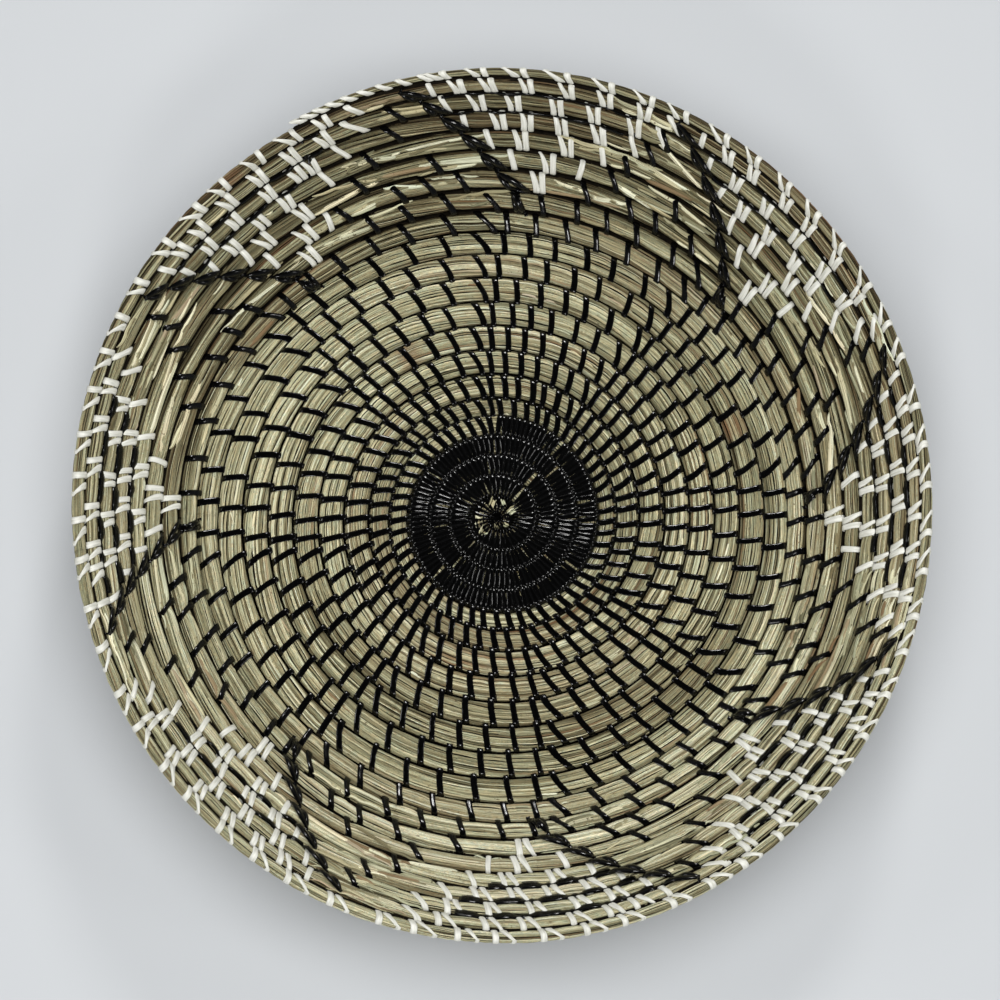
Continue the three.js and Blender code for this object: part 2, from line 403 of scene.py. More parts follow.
def grass_material():
    """Olive to straw stalks with fine streaks, dark specks and brown patches."""
    material, shader = new_material("dried_seagrass")
    links = material.node_tree.links
    tones = [
        (0.0, (0.05, 0.04, 0.02)),
        (0.25, (0.18, 0.163, 0.10)),
        (0.5, (0.385, 0.37, 0.255)),
        (0.75, (0.62, 0.61, 0.46)),
        (1.0, (0.88, 0.87, 0.74)),
    ]
    color = ramp(material, attribute_value(material, "tone"), tones)
    streaks = strip_noise(material, 0.035, 8.0)
    streak_color = ramp(material, streaks, [(0.34, (0.36, 0.33, 0.28)), (0.6, (1.22, 1.21, 1.18))])
    color = mixed(material, 1.0, color, streak_color, "MULTIPLY")
    patches = strip_noise(material, 0.012, 0.3, 1.0)
    patch_color = ramp(material, patches, [(0.35, (0.93, 1.0, 0.94)), (0.65, (1.08, 1.0, 0.84))])
    color = mixed(material, 1.0, color, patch_color, "MULTIPLY")
    specks = strip_noise(material, 0.55, 1.2, 1.0)
    speck_color = ramp(material, specks, [(0.24, (0.25, 0.2, 0.15)), (0.31, (1, 1, 1))])
    color = mixed(material, 1.0, color, speck_color, "MULTIPLY")
    color = mixed(material, attribute_value(material, "brown"), color, (0.23, 0.12, 0.055))
    links.new(color, shader.inputs["Base Color"])
    rough = ramp(material, streaks, [(0.2, (0.62, 0.62, 0.62)), (0.8, (0.42, 0.42, 0.42))])
    links.new(rough, shader.inputs["Roughness"])
    shader.inputs["Specular IOR Level"].default_value = 0.4
    add_bump(material, shader, streaks, 0.00015)
    return material


def core_shade_material():
    """Painted shade for the inside of the bundle: near black, seen only between stalks."""
    material, shader = new_material("grass_core_painted_shade")
    noise = strip_noise(material, 0.4, 4.0)
    # Near-black painted shade
    color = ramp(material, noise, [(0.3, (0.003, 0.0025, 0.002)), (0.7, (0.014, 0.011, 0.007))])
    material.node_tree.links.new(color, shader.inputs["Base Color"])
    shader.inputs["Roughness"].default_value = 0.9
    shader.inputs["Specular IOR Level"].default_value = 0.1
    add_bump(material, shader, noise, 0.0003)
    return material


def strip_material(name, dark, light, rough_low, rough_high, specular):
    """Flat strip with fine streaks along it."""
    material, shader = new_material(name)
    links = material.node_tree.links
    streaks = strip_noise(material, 0.12, 6.0)
    links.new(ramp(material, streaks, [(0.3, dark), (0.75, light)]), shader.inputs["Base Color"])
    rough = ramp(material, streaks, [(0.25, (rough_low,) * 3), (0.8, (rough_high,) * 3)])
    links.new(rough, shader.inputs["Roughness"])
    shader.inputs["Specular IOR Level"].default_value = specular
    add_bump(material, shader, streaks, 0.00008)
    return material


# Meshes


def ring_faces(strips, steps, sides, looped):
    """Faces over rings of points: strips of steps rings, each of an even number of sides."""
    index = np.arange(strips * steps * sides).reshape(strips, steps, sides)
    near = index if looped else index[:, :-1]
    far = np.roll(index, -1, axis=1) if looped else index[:, 1:]
    quads = [near, np.roll(near, -1, axis=2), np.roll(far, -1, axis=2), far]
    faces = [np.stack(quads, axis=-1).reshape(-1, 4)]
    if not looped:
        for corner in range(0, sides // 2 - 1):
            low, high = corner, sides - 1 - corner
            start = index[:, 0, [low, high, high - 1, low + 1]]
            end = index[:, -1, [low, high, high - 1, low + 1]]
            faces += [start, end[:, ::-1]]
    return np.concatenate(faces)


def add_piece(name, points, material, slot, looped=False, **values):
    """A piece from points in strips, steps and sides. Values go on its points by name."""
    strips, steps, sides = points.shape[:3]
    mesh = bpy.data.meshes.new(name)
    faces = ring_faces(strips, steps, sides, looped)
    mesh.from_pydata((points.reshape(-1, 3) * MM).tolist(), [], faces.tolist())
    for key, value in values.items():
        full = np.broadcast_to(value, (strips, steps, sides)).astype(np.float32)
        mesh.attributes.new(key, "FLOAT", "POINT").data.foreach_set("value", full.ravel())
    mesh.polygons.foreach_set("use_smooth", [True] * len(faces))
    mesh.materials.append(material)
    mesh.update()
    piece = bpy.data.objects.new(name, mesh)
    bpy.context.collection.objects.link(piece)
    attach(piece, "root")
    return piece


# The skin of the bundle


def wall_share(turn):
    """Nought on the floor and one on the wall."""
    return np.clip((turn - FLOOR_TURNS) / WALL_BLEND, 0, 1)


def half_width(turn):
    """From the bundle's middle to its skin on either side."""
    groove = FLOOR_GROOVE + (WALL_GROOVE - FLOOR_GROOVE) * wall_share(turn)
    return width_at(turn) * (0.5 - groove)


def skin_power(turn):
    """How square the bundle's section is: 2 is an oval."""
    return FLOOR_POWER + (WALL_POWER - FLOOR_POWER) * wall_share(turn)


def skin_reach(turn, around):
    """From the bundle's middle to its skin, which is flatter on top than an oval."""
    half, power = half_width(turn), skin_power(turn)
    across = np.abs(np.sin(around)) / half
    upward = np.abs(np.cos(around)) / (half * ROUND_SHARE)
    return (across**power + upward**power) ** (-1 / power)


def skin_lift(turn, rows_off):
    """Height of the skin over the bundle's middle, a number of rows from a row's middle."""
    half, power = half_width(turn), skin_power(turn)
    across = np.abs(rows_off - np.round(rows_off)) * width_at(turn) / half
    return half * ROUND_SHARE * (1 - np.minimum(across, 0.97) ** power) ** (1 / power)


def side_share(around):
    """How far across the bundle a place on its skin is, from -1 inside to 1 outside."""
    across = np.abs(np.sin(around)) ** FLOOR_POWER
    upward = np.abs(np.cos(around) / ROUND_SHARE) ** FLOOR_POWER
    return np.sin(around) * (across + upward) ** (-1 / FLOOR_POWER)


# The stitches: each is a closed strip round the bundle, given by the turn of its middle,
# its lean and curl in degrees and its width. They pinch the grass


def black_stitch(at, lean):
    return (at, lean * 0.8, lean * 0.25, BLACK_WIDTH * rng.normal(1, 0.05))


def white_stitch(at, lean, curl):
    return (at, lean, curl, WHITE_WIDTH * rng.normal(1, 0.05))


def sector_stitches():
    """Seven stitches in each sector of each turn, from the wrapped middle to row 8."""
    stitches = []
    for turn in range(int(FIRST_STITCH_TURN) - 1, 16):
        evenness = np.clip((8 - turn) / 3, 0, 1)
        for sector in range(8):
            start = SECTOR_STARTS[sector]
            end = SECTOR_STARTS[(sector + 1) % 8] + (360 if sector == 7 else 0)
            for place in range(7):
                share = EVEN_PLACES[place] * evenness + SECTOR_PLACES[place] * (1 - evenness)
                angle = start + (end - start) * share
                angle += SECTOR_DRIFT * (turn + angle / 360 - SECTOR_TURN) + rng.normal(0, 0.35)
                at = turn + angle / 360
                lean = SECTOR_LEANS[place] * rng.normal(1, 0.12) + evenness
                if at > FIRST_STITCH_TURN and row_of(at) >= 8:
                    stitches.append(black_stitch(at, lean))
    return stitches


def wedge_stitches():
    """The few black stitches after each braid."""
    stitches = []
    for braid in range(8):
        for row, offsets in WEDGE_BLACKS.items():
            for offset in offsets:
                degrees = braid_angle(braid, row) + offset + rng.normal(0, 0.6)
                stitches.append(black_stitch(turn_of(row, degrees), rng.uniform(1.4, 2.4)))
    return stitches


def white_pair(at, spacing, lean, curl):
    """Two stitches side by side: a straight one and one whose outer end sweeps away."""
    half = spacing / 2 / (math.tau * radius_at(at))
    lean = rng.normal(lean, 0.15)
    first = white_stitch(at - half, lean, 0.0)
    second = white_stitch(at + half, lean + rng.normal(0.05, 0.1), curl * rng.normal(1, 0.2))
    return [first, second]


def white_stitches():
    """The white stitches before each braid, single and in pairs, and those of the rim."""
    stitches = []
    for braid in range(8):
        for row, offset in WHITE_STARTS.items():
            at = turn_of(row, braid_angle(braid, row) - offset)
            stitches.append(white_stitch(at, WHITE_LEANS[row] * rng.normal(1, 0.15), 0.3))
        for row, offsets in WHITE_PAIRS.items():
            for offset in offsets:
                at = turn_of(row, braid_angle(braid, row) - offset + rng.normal(0, 0.3))
                spacing = PAIR_SPACINGS[braid] * rng.normal(1, 0.08)
                stitches += white_pair(at, spacing, PAIR_LEANS[braid], PAIR_CURLS[braid])
        for row, offset in WHITE_ENDS.items():
            at = turn_of(row, braid_angle(braid, row) - offset + rng.normal(0, 0.3))
            stitches.append(white_stitch(at, rng.normal(0.5, 0.3), 0.2))
    for pair in range(RIM_PAIRS):
        degrees = 1.5 + pair * 360 / RIM_PAIRS + rng.normal(0, 0.5)
        if not RIM_END_STITCHES[0] < degrees < RIM_END_STITCHES[-1]:
            spacing = rng.uniform(*RIM_SPACINGS)
            stitches += white_pair(turn_of(1, degrees), spacing, RIM_LEAN, RIM_CURL)
    for degrees in RIM_END_STITCHES:
        stitches.append(white_stitch(turn_of(1, degrees), 0.8, 0.6))
    return stitches


BLACKS = sorted(sector_stitches() + wedge_stitches())
WHITES = sorted(white_stitches())
ALL_STITCHES = np.array(sorted(BLACKS + WHITES))
STITCH_LENGTHS = length_at(ALL_STITCHES[:, 0])


def stitch_offset(around, radius, lean, curl):
    """How far along the bundle a stitch lies at a place round it, from its own middle."""
    degree = math.tau * radius / 360
    onward = np.mod(around + math.pi / 2, math.tau) / math.pi
    sweep_share = np.where(onward < 1, onward**CURL_POWER, (2 - onward) ** 0.4)
    return degree * (lean * 0.5 * side_share(around) + curl * sweep_share)


def nearest_stitch(turns, around):
    """Distance along the bundle to the nearest stitch, at places round it."""
    lengths = length_at(turns)
    radius = radius_at(turns)
    last = len(STITCH_LENGTHS) - 1
    after = np.clip(np.searchsorted(STITCH_LENGTHS, lengths), 1, last)
    nearest = np.full(np.broadcast(turns, around).shape, 1e9)
    for k in (after - 2, after - 1, after, after + 1):
        k = np.clip(k, 0, last)
        offset = stitch_offset(around, radius, ALL_STITCHES[k, 1], ALL_STITCHES[k, 2])
        nearest = np.minimum(nearest, np.abs(lengths - STITCH_LENGTHS[k] - offset))
    return nearest


def pinched_share(around):
    """How much of the skin's full reach is left under a stitch: less on top than at the sides."""
    side = side_share(around) ** 2
    return 1 - PINCH * (1 - side + SIDE_PINCH * side)


def squeeze_at(turns, around):
    """How much of its full reach the skin has, and how much it swells up between stitches."""
    nearest = nearest_stitch(turns, around)
    pinched = np.exp(-((nearest / PINCH_LENGTH) ** 2))
    waist = WAIST * np.clip((turns - WAIST_TURN) / 2, 0, 1) * np.exp(-((nearest / WAIST_LENGTH) ** 2))
    wrapped = (turns > WRAP_START) & (turns < WRAP_TURNS)
    loss = (1 - pinched_share(around)) * np.where(wrapped, 1, pinched) + waist * side_share(around) ** 2
    free = 1 - np.exp(-((nearest / BULGE_LENGTH) ** 2))
    return 1 - loss, np.where(wrapped, 1, 1 + BULGE * free)


# The grass


def stalk_lengths(first, last):
    """Places along the bundle, closer where it turns tightly."""
    lengths = [float(length_at(first))]
    while lengths[-1] < length_at(last):
        lengths.append(lengths[-1] + min(STALK_STEP, 0.16 * radius_at(turn_at(lengths[-1]))))
    return np.array(lengths)


def stalk_points(lengths, count):
    """Rings of points along each stalk, and how far round the bundle the stalk is."""
    turns = turn_at(lengths)[None, :]
    step = np.diff(lengths, prepend=lengths[0])
    spacing = math.tau / count
    lay = LAY * (1 + 2 * smooth_noise(1, lengths, 70))
    twist = np.cumsum(lay * step / (width_at(turns) / 2), axis=1)
    bound = np.exp(-((nearest_stitch(turns, 0.0 * turns) / LOOSE_LENGTH) ** 2))
    loose = 1 + LOOSENESS * (1 - bound)
    drift = smooth_noise(count, lengths, 32) * DRIFT * loose + smooth_noise(count, lengths, 9) * 0.1
    around = np.arange(count)[:, None] * spacing + twist + spacing * drift
    squeeze, swell = squeeze_at(turns, around)
    reach = skin_reach(turns, around) * squeeze
    fill = STALK_FILL - WALL_THINNING * wall_share(turns)
    size = reach * spacing * fill * (1 + 0.25 * smooth_noise(count, lengths, 45))
    size = size * np.clip(rng.normal(1, 0.2, (count, 1)), 0.6, 1.4)
    end = np.minimum(lengths - lengths[0], lengths[-1] - lengths) / 8
    size = size * np.clip(end, 0.15, 1)
    thick = np.minimum(size, STALK_THICKNESS)
    reach = reach - thick - np.abs(smooth_noise(count, lengths, 22)) * 0.3
    corners = np.arange(4) * math.tau / 4
    out = reach[..., None] + thick[..., None] * np.cos(corners)
    over = size[..., None] * np.sin(corners)
    section = turns[..., None]
    place = around[..., None]
    along = out * np.sin(place) + over * np.cos(place)
    lift = (out * np.cos(place) - over * np.sin(place)) * swell[..., None]
    return tray_point(section, math.tau * section, along, lift), around


def stalk_tone(lengths, around):
    """How pale each stalk is along the bundle, from nought to one, with painted shade at the bundle's
    sides and painted light and shade round the wall.
    """
    count = len(around)
    turns = turn_at(lengths)[None, :]
    tone = 0.6 + 0.16 * rng.normal(0, 1, (count, 1)) + 0.24 * smooth_noise(count, lengths, 45)
    # Painted shade: the stalks darken towards the bundle's sides, most on the wall
    tone = tone - PAINTED_SIDE_SHADE * (0.3 + 0.7 * wall_share(turns)) * side_share(around) ** 4
    # Painted light and shade: on the wall the stalks are paler towards one angle of the tray and darker
    # towards the opposite one
    painted_light = PAINTED_LIGHT_GAIN * np.cos(math.tau * turns - math.radians(PAINTED_LIGHT_SIDE)) * wall_share(turns)
    return np.clip(tone + painted_light + 0.1 * smooth_noise(1, lengths, 160), 0, 1)


def stalk_brown(lengths, count):
    """How brown each stalk is along the bundle."""
    brown = np.clip(smooth_noise(count, lengths, 70) - 0.7, 0, 1) * 2.0
    brown = brown + 0.2 * np.clip(smooth_noise(1, lengths, 90), 0, 1)
    for turn, strength in BROWN_PATCHES:
        patch = strength * np.exp(-(((lengths - length_at(turn)) / PATCH_LENGTH) ** 4))
        brown = np.maximum(brown, patch * rng.uniform(0.3, 1, (count, 1)))
    return np.clip(brown, 0, 0.9)


def add_stalks(name, first, last, count, material, chunks):
    """The stalks of the bundle between two turns, in chunks."""
    lengths = stalk_lengths(first, last)
    points, around = stalk_points(lengths, count)
    tone = stalk_tone(lengths, around)
    brown = stalk_brown(lengths, count)
    flow = lengths[None, :, None] + rng.uniform(0, 500, (count, 1, 1))
    side = np.array([0, 1, 2, 1.0])
    edges = np.linspace(0, len(lengths) - 1, chunks + 1).astype(int)
    for chunk in range(chunks):
        part = slice(edges[chunk], edges[chunk + 1] + 1)
        piece = add_piece(
            f"{name}_{chunk + 1:02d}",
            points[:, part],
            material,
            "seagrass",
            tone=tone[:, part, None],
            brown=brown[:, part, None],
            flow=flow[:, part],
            side=side,
        )
        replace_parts(piece, "core_coil")


def add_core(material):
    """The inside of the bundle, from the eye to the rim, near black as painted shade between stalks and
    in the grooves.
    """
    lengths = stalk_lengths(-EYE_TURNS, TURNS - 0.004)
    turns = turn_at(lengths)[:, None]
    around = np.arange(8) * math.tau / 8
    reach = skin_reach(turns, around) * squeeze_at(turns, 0.0 * turns)[0] * BODY_SHARE
    along = reach * np.sin(around)
    # The core reaches into the turns beside it, so its painted shade fills the grooves between them
    overlap = np.where(turns[:, 0] < FLOOR_TURNS, FLOOR_OVERLAP, WALL_OVERLAP)
    beside = width_at(turns)[:, 0] / 2 + overlap

    # Points 2 and 6 of a ring are at the bundle's sides. The rim has no turn outside it
    along[:, 2] = np.where(turns[:, 0] < TURNS - 1, beside, along[:, 2])
    along[:, 6] = -beside
    points = tray_point(turns, math.tau * turns, along, reach * np.cos(around))
    values = {"tone": 0.5, "flow": lengths[None, :, None], "side": around}
    piece = add_piece("bundle_core_painted_shade", points[None], material, "seagrass", **values)
    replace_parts(piece, "core_coil")


def straw_paths(share):
    """Turns, rows off the turn, lengths and whether they lie scattered, of all loose straws."""
    braid = rng.integers(0, 8, STRAWS)
    row = rng.integers(2, 9, STRAWS)
    free = np.array([360 / len(BRAIDS) - WHITE_STARTS.get(r, 12) for r in range(10)])
    middle = np.array([braid_angle(b, r) for b, r in zip(braid, row)])
    degrees = middle + 1 + free[row] * rng.uniform(0, 1, STRAWS)
    scattered = rng.uniform(0, 1, STRAWS) < SCATTERED_SHARE
    turns = np.where(scattered, rng.uniform(5, 20, STRAWS), turn_of(row, degrees))[:, None]
    length = rng.uniform(*STRAW_LENGTHS, (STRAWS, 1)) * np.where(scattered, 0.5, 1)[:, None]
    turns = turn_at(length_at(turns) + length * (share - 0.5))
    first = rng.uniform(-STRAW_SPREAD, STRAW_SPREAD, (STRAWS, 1))
    shift = rng.normal(0, 0.32, (STRAWS, 1)) * np.where(scattered, 0.4, 1)[:, None]
    return turns, first + shift * (share - 0.5), length, scattered


def straw_lift(turns, rows_off, share):
    """Height of the straws: on the grass, down under the stitches and into it at their ends."""
    lift = np.maximum(skin_lift(turns, rows_off), 0.8 * skin_lift(turns, 0.0 * turns))
    host = turns + np.round(rows_off)
    squeeze, swell = squeeze_at(host, 0.0 * host)
    place = np.arcsin(np.clip(2 * (rows_off - np.round(rows_off)), -0.9, 0.9))
    nearest_lap = nearest_stitch(turns + np.ceil(rows_off), math.radians(LAP_PLACE) + 0.0 * host)
    nearest = np.minimum(nearest_stitch(host, place), nearest_lap)
    sink = 1.3 * (1 - np.clip(np.minimum(share, 1 - share) / 0.14, 0, 1)) ** 2
    return lift * squeeze * swell + 0.05 - sink - 0.8 * np.exp(-((nearest / 2.8) ** 2))


def add_straws(material):
    """Single stalks that lie over the others, most of them where the stitches are sparse."""
    share = np.linspace(0, 1, STRAW_STEPS)[None, :]
    turns, rows_off, length, scattered = straw_paths(share)
    half = rng.uniform(*STRAW_HALF_WIDTHS, (STRAWS, 1)) * np.where(scattered, 0.5, 1)[:, None]
    half = half * (0.3 + 0.7 * np.sin(np.pi * share) ** 0.5)
    corners = (np.arange(6) + 0.5) * math.tau / 6
    along = (rows_off * width_at(turns))[..., None] + half[..., None] * np.sin(corners)
    lift = straw_lift(turns, rows_off, share)[..., None] + STRAW_HALF_THICKNESS * np.cos(corners)
    points = tray_point(turns[..., None], math.tau * turns[..., None], along, lift)
    pale = rng.choice(STRAW_TONES, STRAWS, p=STRAW_ODDS)
    tone = np.clip(pale + rng.normal(0, 0.05, STRAWS), 0, 1)[:, None, None]
    brown = (rng.uniform(0, 1, STRAWS) > 0.88)[:, None, None] * 0.6
    flow = (length * share + rng.uniform(0, 500, (STRAWS, 1)))[..., None]
    side = np.array([0, 0.5, 1, 1.5, 1, 0.5])
    values = {"tone": tone, "brown": brown, "flow": flow, "side": side}
    piece = add_piece("loose_straws", points, material, "seagrass", **values)
    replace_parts(piece, "core_coil")


# The strips


def band_points(stitches, lift, crown, fan, taper, lap_height):
    """Closed strips round the bundle, with a flat back and a slightly crowned face."""
    turns, leans, curls, widths = (column[:, None] for column in np.array(stitches).T)
    radius = radius_at(turns)
    lap = np.exp(-(((LOOP - math.radians(LAP_PLACE)) / math.radians(LAP_SPREAD)) ** 2))
    raised = lift + lap_height * width_at(turns) / 10 * lap
    reach = skin_reach(turns, LOOP) * pinched_share(LOOP) + raised
    slant = math.tau * radius / 360 * (leans + 0.5 * curls) / width_at(turns)
    outer = (1 + side_share(LOOP)) / 2
    widths = widths * np.hypot(1, slant) * (1 + fan * reach * np.sin(LOOP) / radius)
    widths = widths * (1 - taper * np.clip(curls, 0, 1) * outer**4)
    across = np.array([-0.5, -0.42, -0.2, 0.2, 0.42, 0.5, 0.3, -0.3])
    height = np.array([0.25, 0.8, 1 + crown, 1 + crown, 0.8, 0.25, -0.1, -0.1]) * STRIP_THICKNESS
    shift = stitch_offset(LOOP, radius, leans, curls)[..., None] + widths[..., None] * across
    return on_bundle(turns[..., None], shift, LOOP[None, :, None], reach[..., None] + height)


def add_bands(name, stitches, material, slot, lift=0.0, crown=0.3, fan=0.0, taper=0.0, lap=LAP):
    """A piece from stitches or wraps of one kind."""
    points = band_points(stitches, lift, crown, fan, taper, lap)
    flow = LOOP[None, :, None] * 5
    side = np.array([0, 0.1, 0.2, 0.4, 0.6, 0.7, 0.8, 1.0])
    tone = rng.uniform(0, 1, (len(stitches), 1, 1))
    return add_piece(name, points, material, slot, looped=True, tone=tone, flow=flow, side=side)


def sweep(path, normal, width, thickness, sides=8):
    """Rings of an oval section along a path. Path and normal have one row a step."""
    forward = np.gradient(path, axis=0)
    forward /= np.linalg.norm(forward, axis=1, keepdims=True)
    over = np.cross(forward, normal)
    over /= np.linalg.norm(over, axis=1, keepdims=True)
    up = np.cross(over, forward)
    corner = (np.arange(sides) + 0.5) * math.tau / sides
    width = np.broadcast_to(width, len(path))[:, None, None]
    thickness = np.broadcast_to(thickness, len(path))[:, None, None]
    rings = path[:, None, :] + over[:, None, :] * np.cos(corner)[None, :, None] * width / 2
    return rings + up[:, None, :] * np.sin(corner)[None, :, None] * thickness / 2


def add_strips(name, strips, material):
    """A piece from black strips that were swept along paths of equal length."""
    points = np.array(strips)
    tone = rng.uniform(0, 1, (len(strips), 1, 1))
    flow = np.cumsum(np.linalg.norm(np.diff(points, axis=1, prepend=points[:, :1]), axis=-1), axis=1)
    side = np.arange(points.shape[2]) / points.shape[2]
    return add_piece(name, points, material, "black_strip", tone=tone, flow=flow, side=side)


def close_wraps(first, last, spread):
    """Wraps side by side between two turns, with slivers of grass left bare."""
    wraps = []
    bare = [(float(length_at(turn)), width) for turn, width in SLIVERS]
    place = length_at(first)
    while place < length_at(last):
        lean = rng.normal(0.3, spread)
        wraps.append((turn_at(place), lean, 0.0, WRAP_WIDTH * rng.normal(1, 0.04)))
        after = place + WRAP_PITCH
        place = after + sum(width for spot, width in bare if place <= spot < after)
    return wraps


def add_wraps(material):
    """The close wrap round the first turns, and the strips of the eye."""
    wraps = close_wraps(WRAP_START, WRAP_TURNS, 0.8)
    piece = add_bands("centre_wraps", wraps, material, "black_strip", lift=0.15, crown=0.6, fan=1.0)
    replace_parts(piece, "centre_wrap")
    wraps = close_wraps(-0.5, WRAP_START, 3)
    piece = add_bands("eye_strips", wraps, material, "black_strip", lift=0.3, crown=0.5, fan=0.8)
    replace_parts(piece, "start_knot")
    piece = add_strips("eye_crossings", eye_crossings(), material)
    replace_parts(piece, "start_knot")


def eye_crossings():
    """Strips that cross at the bottom of the eye and close it."""
    share = np.linspace(-1, 1, STRIP_STEPS)
    normal = np.broadcast_to([0.0, 0.0, 1.0], (STRIP_STEPS, 3))
    strips = []
    for layer, turned in enumerate(np.radians(CROSSING_DEGREES)):
        x = AXIS_X + CROSSING_REACH * share * math.cos(turned)
        y = AXIS_Y + CROSSING_REACH * share * math.sin(turned)
        height = 1.0 + 0.4 * layer + 1.6 * share**2
        path = np.stack([x, y, height], axis=1)
        strips.append(sweep(path, normal, CROSSING_WIDTH, CROSSING_THICKNESS))
    return strips


def eye_shred(x, y, angle, length, offset):
    """One shred of a scrap of grass, offset sideways from the scrap's middle."""
    share = np.linspace(-0.5, 0.5, SHRED_STEPS)
    over = length * rng.uniform(0.6, 1.05) * share + rng.normal(0, 0.4)
    bend = offset + rng.normal(0, 0.25) + rng.normal(0, 0.1, SHRED_STEPS)
    across = x + over * math.cos(angle) - bend * math.sin(angle)
    upward = y + over * math.sin(angle) + bend * math.cos(angle)
    height = np.interp(np.hypot(across, upward), EYE_RADII, EYE_HEIGHTS) + rng.normal(0, 0.3)
    tilt = [rng.normal(0, 0.3, SHRED_STEPS), rng.normal(0, 0.3, SHRED_STEPS)]
    normal = np.stack([*tilt, np.ones(SHRED_STEPS)], axis=1)
    path = np.stack([AXIS_X + across, AXIS_Y + upward, height], axis=1)
    return sweep(path, normal, SHRED_WIDTH * (1.15 - (2 * share) ** 4), SHRED_THICKNESS)


def add_eye_scraps(material):
    """Scraps of grass between the strips of the eye, each of a few shreds side by side."""
    strips = []
    for x, y, length, width, degrees in EYE_SCRAPS:
        shreds = round(width / SHRED_WIDTH)
        for shred in range(shreds):
            offset = (shred - (shreds - 1) / 2) * SHRED_WIDTH
            strips.append(eye_shred(x, y, math.radians(degrees), length, offset))
    points = np.array(strips)
    flow = (np.arange(SHRED_STEPS) * 0.6)[None, :, None] + rng.uniform(0, 500, (len(strips), 1, 1))
    tone = rng.uniform(0.3, 1.0, (len(strips), 1, 1))
    values = {"tone": tone, "brown": 0.0, "flow": flow, "side": np.arange(8) / 2}
    piece = add_piece("eye_scraps", points, material, "seagrass", **values)
    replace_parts(piece, "start_knot")


def laid_strip(rows, degrees, raise_by, width, thickness):
    """A strip laid over the inside of the tray, by the rows and angles that it passes."""
    turns = turn_of(rows, degrees)
    angle = np.radians(degrees)
    lift = skin_lift(turns, rows) + raise_by
    path = tray_point(turns, angle, 0 * turns, lift)
    normal = tray_point(turns, angle, 0 * turns, lift + 1) - path
    return sweep(path, normal, width, thickness)


def braid_link(braid, row, reach):
    """One link of a braid: two strips slanting over its row, and one down to the next link."""
    share = np.linspace(0, 1, STRIP_STEPS)
    swell = np.sin(np.pi * share)
    heft = BRAID_SHARES[braid]
    top = braid_angle(braid, row + LINK_START)
    degree = math.tau * radius_at(turn_of(row, top)) / 360
    tip = top - reach * rng.normal(1, 0.08) / degree
    rows = row + LINK_START + (LINK_END - LINK_START) * share

    over_degrees = top + (tip - top) * share
    over_width = heft * (0.9 + 2.3 * np.sin(np.pi * share**0.85) ** 0.7)
    over = laid_strip(rows - 0.14 * swell, over_degrees, 0.7 + 1.0 * swell, over_width, 1.3)

    under_rows = rows + 0.3 * swell**1.3
    under_degrees = top + (tip - top) * share**1.15
    under_width = heft * (1.1 + 1.3 * swell**0.5)
    under = laid_strip(under_rows, under_degrees, 0.4 + 0.5 * swell, under_width, 1.2)

    down_rows = row + DOWN_ROWS[0] + (DOWN_ROWS[1] - DOWN_ROWS[0]) * share
    down_start = top - DOWN_SHIFT / degree
    down_degrees = down_start + (braid_angle(braid, row + DOWN_ROWS[1]) - down_start) * share
    down = laid_strip(down_rows, down_degrees, 0.35 + 0.3 * swell, heft * 2.1, 0.9)
    return [over, under, down]


def add_braid(braid, material):
    """A braid's links, one a row, and the loose end that hooks over at its top."""
    strips = []
    for row in BRAID_ROWS:
        strips += braid_link(braid, row, LINK_REACH)
    strips += braid_link(braid, BRAID_ROWS[-1] + 1, LAST_LINK_REACH)
    share = np.linspace(0, 1, STRIP_STEPS)
    hook_rows = 1.75 - 0.35 * np.sin(share * 2.2)
    hook_degrees = BRAIDS[braid][1] - 0.3 - 1.6 * share
    strips.append(laid_strip(hook_rows, hook_degrees, 0.4 - 0.5 * share, 1.5 - 1.1 * share, 0.6))
    piece = add_strips(f"braid_strips_{braid + 1}", strips, material)
    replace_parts(piece, f"braid_{braid + 1}")


def add_carried(material):
    """The black strip that runs along the grooves under the white pairs."""
    strips = []
    for braid in range(8):
        for row in CARRIED[braid]:
            middle = braid_angle(braid, row)
            start = middle - WHITE_PAIRS[row][0] + 1
            end = middle - WHITE_ENDS[row] - 1
            degrees = np.linspace(start, end, CARRIED_STEPS)
            rows = row + 0.5 + 0.03 * np.sin(np.radians(degrees * 40) + braid)
            turns = turn_of(row, degrees)
            nearest = nearest_stitch(turns, math.radians(LAP_PLACE) + 0 * turns)
            under = np.exp(-((nearest / 2.6) ** 2))
            full = CARRIED_DEPTH * skin_lift(turns, 0 * turns)
            raise_by = full * (1 - 0.35 * under) - skin_lift(turns, rows)
            unevenness = 1 + 0.35 * smooth_noise(1, degrees * 2, 12)[0]
            width = CARRIED_WIDTHS[braid] * unevenness * (1 - 0.45 * under) + 0.3
            strips.append(laid_strip(rows, degrees, raise_by, width, CARRIED_THICKNESS))
    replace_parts(add_strips("carried_strips", strips, material), "core_coil")


# The stage, lamps and camera


def add_floor():
    """A pale floor that isn't part of the tray."""
    mesh = bpy.data.meshes.new("floor")
    corners = [(x * FLOOR_HALF, y * FLOOR_HALF, 0) for x, y in [(-1, -1), (1, -1), (1, 1), (-1, 1)]]
    mesh.from_pydata(corners, [], [(0, 1, 2, 3)])
    floor = bpy.data.objects.new("floor", mesh)
    bpy.context.collection.objects.link(floor)
    material, shader = new_material("pale_floor")
    shader.inputs["Base Color"].default_value = FLOOR_COLOR
    shader.inputs["Roughness"].default_value = 0.9
    mesh.materials.append(material)
    floor.location.z = -0.0002


def add_lamp(name, place, size, power, color, glints=True):
    data = bpy.data.lights.new(name, "AREA")
    data.shape = "DISK"
    data.size = size
    data.energy = power
    data.color = color
    lamp = bpy.data.objects.new(name, data)
    bpy.context.collection.objects.link(lamp)
    lamp.location = place
    lamp.rotation_mode = "QUATERNION"
    lamp.rotation_quaternion = (-Vector(place)).to_track_quat("-Z", "Y")
    lamp.visible_glossy = glints


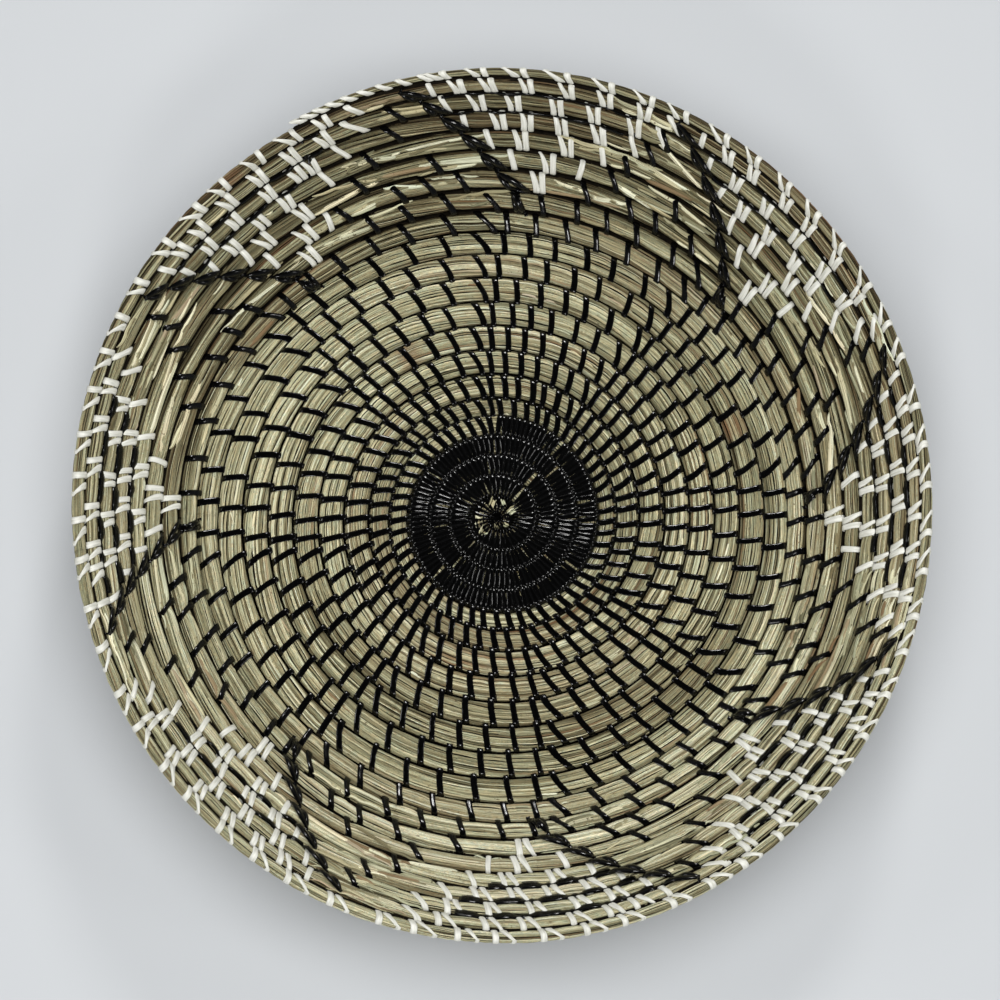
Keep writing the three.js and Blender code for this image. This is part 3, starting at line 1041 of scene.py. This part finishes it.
def add_lamps():
    """A large soft lamp overhead that makes no glints, and small ones round the tray."""
    add_lamp("overhead", OVERHEAD_PLACE, OVERHEAD_SIZE, OVERHEAD_POWER, (1.0, 1.0, 1.0), glints=False)
    for number, (degrees, power) in enumerate(SIDE_LAMPS):
        angle = math.radians(degrees)
        place = (SIDE_RADIUS * math.cos(angle), SIDE_RADIUS * math.sin(angle), SIDE_HEIGHT)
        add_lamp(f"side_{number + 1}", place, SIDE_SIZE, power, SIDE_COLOR)


def add_world():
    """A room that is bright at eye level and darker overhead."""
    world = bpy.data.worlds.new("studio")
    world.use_nodes = True
    nodes, links = world.node_tree.nodes, world.node_tree.links
    place = nodes.new("ShaderNodeTexCoord")
    split = nodes.new("ShaderNodeSeparateXYZ")
    links.new(place.outputs["Generated"], split.inputs[0])
    sky = ramp(world, split.outputs["Z"], [(0.0, (0.17, 0.175, 0.185)), (0.9, (0.01, 0.0105, 0.011))])
    links.new(sky, nodes["Background"].inputs["Color"])
    bpy.context.scene.world = world


def add_camera():
    """The camera of the photograph, which leans back from straight above by two small tilts."""
    data = bpy.data.cameras.new("camera")
    data.lens = CAMERA_LENS
    data.sensor_width = 36
    camera = bpy.data.objects.new("camera", data)
    bpy.context.collection.objects.link(camera)
    x, y = -math.sin(math.radians(CAMERA_TILT_X)), -math.sin(math.radians(CAMERA_TILT_Y))
    back = Vector((x, y, math.sqrt(1 - x * x - y * y)))
    right = Vector((0, 1, 0)).cross(back).normalized()
    up = back.cross(right)
    turned = Matrix((right, up, back)).transposed().to_4x4()
    place = (Vector(CAMERA_TARGET) + back * CAMERA_DISTANCE) * MM
    camera.matrix_world = Matrix.Translation(place) @ turned
    bpy.context.scene.camera = camera


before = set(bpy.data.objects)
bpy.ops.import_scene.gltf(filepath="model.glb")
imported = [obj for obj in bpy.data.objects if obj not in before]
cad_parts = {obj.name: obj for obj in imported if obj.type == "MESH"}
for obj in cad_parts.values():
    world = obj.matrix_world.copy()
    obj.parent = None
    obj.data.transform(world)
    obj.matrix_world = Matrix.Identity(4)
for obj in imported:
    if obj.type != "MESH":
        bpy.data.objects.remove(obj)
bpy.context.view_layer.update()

grass = grass_material()
core = core_shade_material()
black = strip_material("black_strip", (0.0006, 0.0006, 0.0006), (0.002, 0.002, 0.002), 0.1, 0.2, 0.5)
white = strip_material("white_strip", (0.58, 0.58, 0.51), (0.88, 0.875, 0.81), 0.36, 0.55, 0.4)

add_core(core)
add_stalks("grass", -EYE_TURNS, RIM_START + 0.05, STALKS, grass, 12)
add_stalks("rim_grass", RIM_START, TURNS - 0.002, RIM_STALKS, grass, 2)
add_straws(grass)
for number, part in enumerate((BLACKS[: len(BLACKS) // 2], BLACKS[len(BLACKS) // 2 :])):
    add_bands(f"black_stitches_{number + 1}", part, black, "black_strip")
add_bands("white_stitches", WHITES, white, "white_strip", taper=0.4, lap=WHITE_LAP)
add_wraps(black)
add_eye_scraps(grass)
add_carried(black)
for number in range(len(BRAIDS)):
    add_braid(number, black)

add_floor()
add_lamps()
add_world()
bpy.context.scene.view_settings.view_transform = "Standard"
add_camera()
